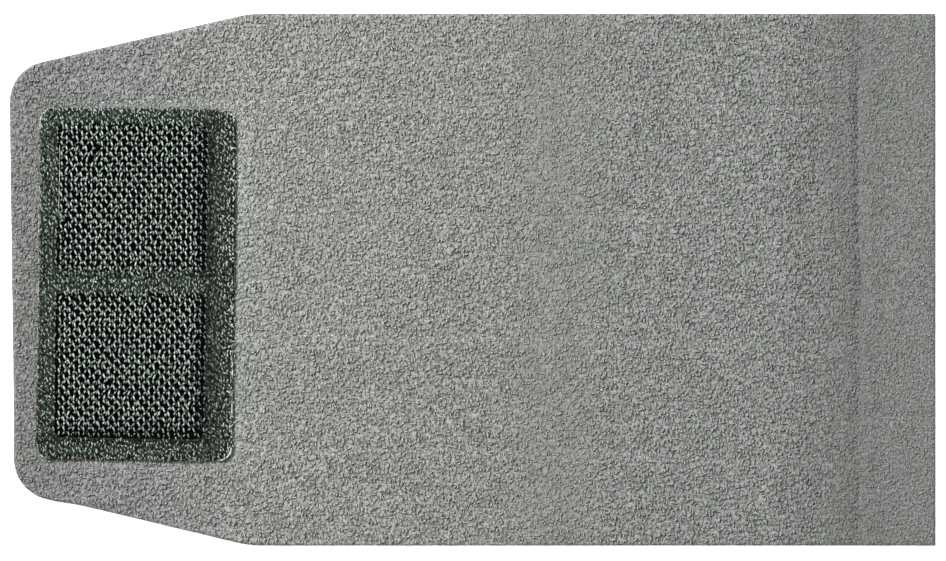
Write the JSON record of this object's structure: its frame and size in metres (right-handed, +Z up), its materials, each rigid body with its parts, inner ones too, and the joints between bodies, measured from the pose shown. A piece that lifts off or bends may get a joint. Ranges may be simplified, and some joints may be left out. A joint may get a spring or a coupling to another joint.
{
  "type": "protector belt closure end",
  "caption": "Closure end of a back protector's waist belt: a quilted loop-faced foam laminate with a tapered tip and a welded hook patch.",
  "frame": {"origin": "centre of the belt end's footprint, on the surface its lining lies on", "axes": "+X along the belt away from the hook tip, +Y across the belt, +Z up out of the loop face"},
  "size_m": [0.1946, 0.1118, 0.0065],
  "materials": {
    "loop_pile": "brushed loop pile",
    "foam": "open-cell foam",
    "lining": "knitted lining",
    "hook_tape": "woven nylon tape",
    "weld": "crushed and half-melted nylon",
    "hooks": "nylon hooks",
    "thread": "polyester thread"
  },
  "bodies": {
    "middle_panel": {"loop_facing_middle_panel": "loop_pile", "foam_core_middle_panel": "foam", "lining_middle_panel": "lining", "needle_thread_1_middle_panel": "thread", "bobbin_thread_1_middle_panel": "thread", "needle_thread_2_middle_panel": "thread", "bobbin_thread_2_middle_panel": "thread", "needle_thread_3_middle_panel": "thread", "bobbin_thread_3_middle_panel": "thread", "needle_thread_4_middle_panel": "thread", "bobbin_thread_4_middle_panel": "thread", "loop_facing_crease_web": "loop_pile", "lining_crease_web": "lining", "loop_facing_anchor_web": "loop_pile", "lining_anchor_web": "lining"},
    "hook_end": {"loop_facing_hook_end": "loop_pile", "foam_core_hook_end": "foam", "lining_hook_end": "lining", "needle_thread_1_hook_end": "thread", "bobbin_thread_1_hook_end": "thread", "needle_thread_2_hook_end": "thread", "bobbin_thread_2_hook_end": "thread", "needle_thread_3_hook_end": "thread", "bobbin_thread_3_hook_end": "thread", "needle_thread_4_hook_end": "thread", "bobbin_thread_4_hook_end": "thread", "hook_tape_base": "hook_tape", "weld_frame": "weld", "hook_field_upper": "hooks", "hook_field_lower": "hooks"},
    "anchor_end": {"loop_facing_anchor_end": "loop_pile", "foam_core_anchor_end": "foam", "lining_anchor_end": "lining", "seam_needle_thread": "thread", "seam_bobbin_thread": "thread"}
  },
  "joints": [
    {"name": "crease_fold", "type": "hinge", "parent": "middle_panel", "child": "hook_end", "pos_m": [0.0173, 0, 0.0057], "axis": [0, 1, 0], "range_deg": [-30, 175], "stiffness_Nm_per_rad": 0.04, "deforming": ["loop_facing_crease_web", "lining_crease_web"]},
    {"name": "anchor_fold", "type": "hinge", "parent": "middle_panel", "child": "anchor_end", "pos_m": [0.0812, 0, 0.0021], "axis": [0, -1, 0], "range_deg": [-75, 15], "stiffness_Nm_per_rad": 0.04, "deforming": ["loop_facing_anchor_web", "lining_anchor_web"]}
  ]
}
